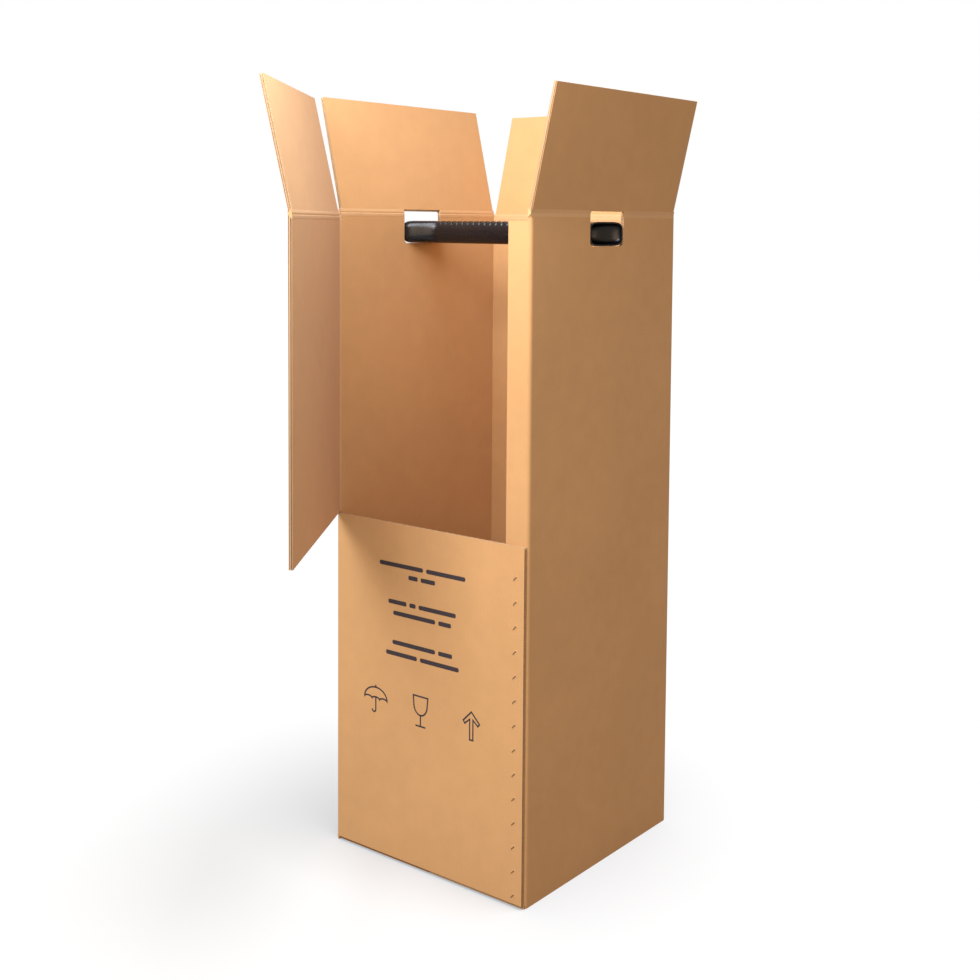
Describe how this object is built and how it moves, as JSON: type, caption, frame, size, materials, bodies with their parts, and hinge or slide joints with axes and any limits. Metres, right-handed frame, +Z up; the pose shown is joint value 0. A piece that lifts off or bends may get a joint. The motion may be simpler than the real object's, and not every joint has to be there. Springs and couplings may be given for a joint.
{
  "type": "wardrobe moving box",
  "caption": "Tall corrugated carton with a door torn open in its front, top flaps, hand-holes and a plastic rail across it for clothes on hangers.",
  "frame": {"origin": "centre of the carton's bottom face, where it stands on the floor", "axes": "+Z up, front wall and door towards -Y, +X to the right of someone facing the front"},
  "size_m": [0.594, 0.9963, 1.5394],
  "materials": {
    "board": "matte kraft",
    "rail": "glossy black",
    "wire": "flat stitching wire"
  },
  "bodies": {
    "carton": {"carton_body": "board", "hanging_rail": "rail", "stitch_01": "wire", "stitch_02": "wire", "stitch_03": "wire", "stitch_04": "wire", "stitch_05": "wire", "stitch_06": "wire", "stitch_07": "wire", "stitch_08": "wire", "stitch_09": "wire", "stitch_10": "wire", "stitch_11": "wire", "stitch_12": "wire", "stitch_13": "wire", "stitch_14": "wire"},
    "door": {"front_door": "board"},
    "door_flap": {"front_flap": "board"},
    "left_top_flap": {"left_flap": "board"},
    "back_top_flap": {"back_flap": "board"},
    "right_top_flap": {"right_flap": "board"}
  },
  "joints": [
    {"name": "door_hinge", "type": "hinge", "parent": "carton", "child": "door", "pos_m": [-0.243, -0.257, 0.99], "axis": [0, 0, -1], "range_deg": [-55, 45]},
    {"name": "door_flap_hinge", "type": "hinge", "parent": "door", "child": "door_flap", "pos_m": [-0.243, -0.257, 1.2966], "axis": [-0.5736, 0.8192, 0], "range_deg": [-158, 102]},
    {"name": "left_flap_hinge", "type": "hinge", "parent": "carton", "child": "left_top_flap", "pos_m": [-0.243, 0, 1.304], "axis": [0, -1, 0], "range_deg": [-103, 157]},
    {"name": "back_flap_hinge", "type": "hinge", "parent": "carton", "child": "back_top_flap", "pos_m": [0, 0.257, 1.2966], "axis": [-1, 0, 0], "range_deg": [-105, 155]},
    {"name": "right_flap_hinge", "type": "hinge", "parent": "carton", "child": "right_top_flap", "pos_m": [0.243, 0, 1.304], "axis": [0, 1, 0], "range_deg": [-103, 157]}
  ]
}
